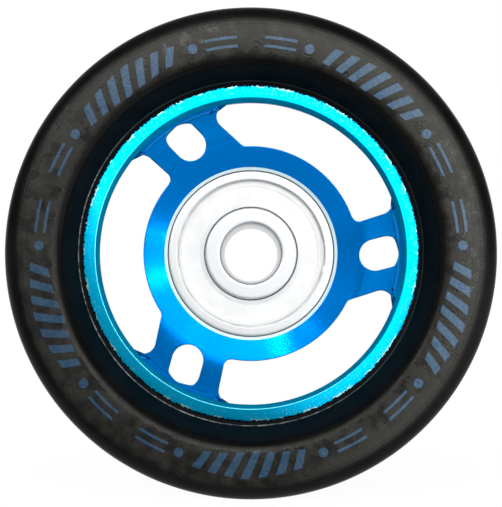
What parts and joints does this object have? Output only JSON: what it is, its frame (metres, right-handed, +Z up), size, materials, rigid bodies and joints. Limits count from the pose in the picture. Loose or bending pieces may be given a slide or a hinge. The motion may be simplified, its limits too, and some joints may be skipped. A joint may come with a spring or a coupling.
{
  "type": "roller skate wheel",
  "caption": "Quad roller skate wheel: black urethane tyre cast on a blue anodised hub with slanted spokes, turning on shielded ball bearings with a spacer between them.",
  "frame": {"origin": "centre of the wheel, on its axle line", "axes": "+Y along the axle towards the skate's truck, -Y out of the front face, +Z up"},
  "size_m": [0.062, 0.043, 0.062],
  "materials": {
    "tyre_urethane": "matt sidewall, satin tread",
    "hub_blue": "turned and anodised",
    "spacer_aluminium": "turned",
    "bearing_steel": "ground",
    "ball_steel": "polished",
    "cage_nylon": "moulded",
    "shield_white": "satin",
    "clip_steel": "drawn wire"
  },
  "bodies": {
    "axle_stack": {"axle_spacer": "spacer_aluminium", "front_bearing_inner_ring": "bearing_steel", "rear_bearing_inner_ring": "bearing_steel"},
    "wheel": {"tyre": "tyre_urethane", "hub": "hub_blue", "front_bearing_outer_ring": "bearing_steel", "front_bearing_outboard_shield": "shield_white", "front_bearing_inboard_shield": "shield_white", "front_bearing_outboard_clip": "clip_steel", "front_bearing_inboard_clip": "clip_steel", "rear_bearing_outer_ring": "bearing_steel", "rear_bearing_outboard_shield": "shield_white", "rear_bearing_inboard_shield": "shield_white", "rear_bearing_outboard_clip": "clip_steel", "rear_bearing_inboard_clip": "clip_steel"},
    "front_ball_set": {"front_bearing_balls": "ball_steel", "front_bearing_cage": "cage_nylon"},
    "rear_ball_set": {"rear_bearing_balls": "ball_steel", "rear_bearing_cage": "cage_nylon"}
  },
  "joints": [
    {"name": "wheel_spin", "type": "hinge", "parent": "axle_stack", "child": "wheel", "pos_m": [0, 0, 0], "axis": [0, 1, 0], "continuous": true},
    {"name": "front_ball_orbit", "type": "hinge", "parent": "axle_stack", "child": "front_ball_set", "pos_m": [0, 0, 0], "axis": [0, 1, 0], "continuous": true},
    {"name": "rear_ball_orbit", "type": "hinge", "parent": "axle_stack", "child": "rear_ball_set", "pos_m": [0, 0, 0], "axis": [0, 1, 0], "continuous": true}
  ],
  "couplings": [
    {"joint": "front_ball_orbit", "follows": "wheel_spin", "ratio": 0.6323},
    {"joint": "rear_ball_orbit", "follows": "wheel_spin", "ratio": 0.6323}
  ]
}
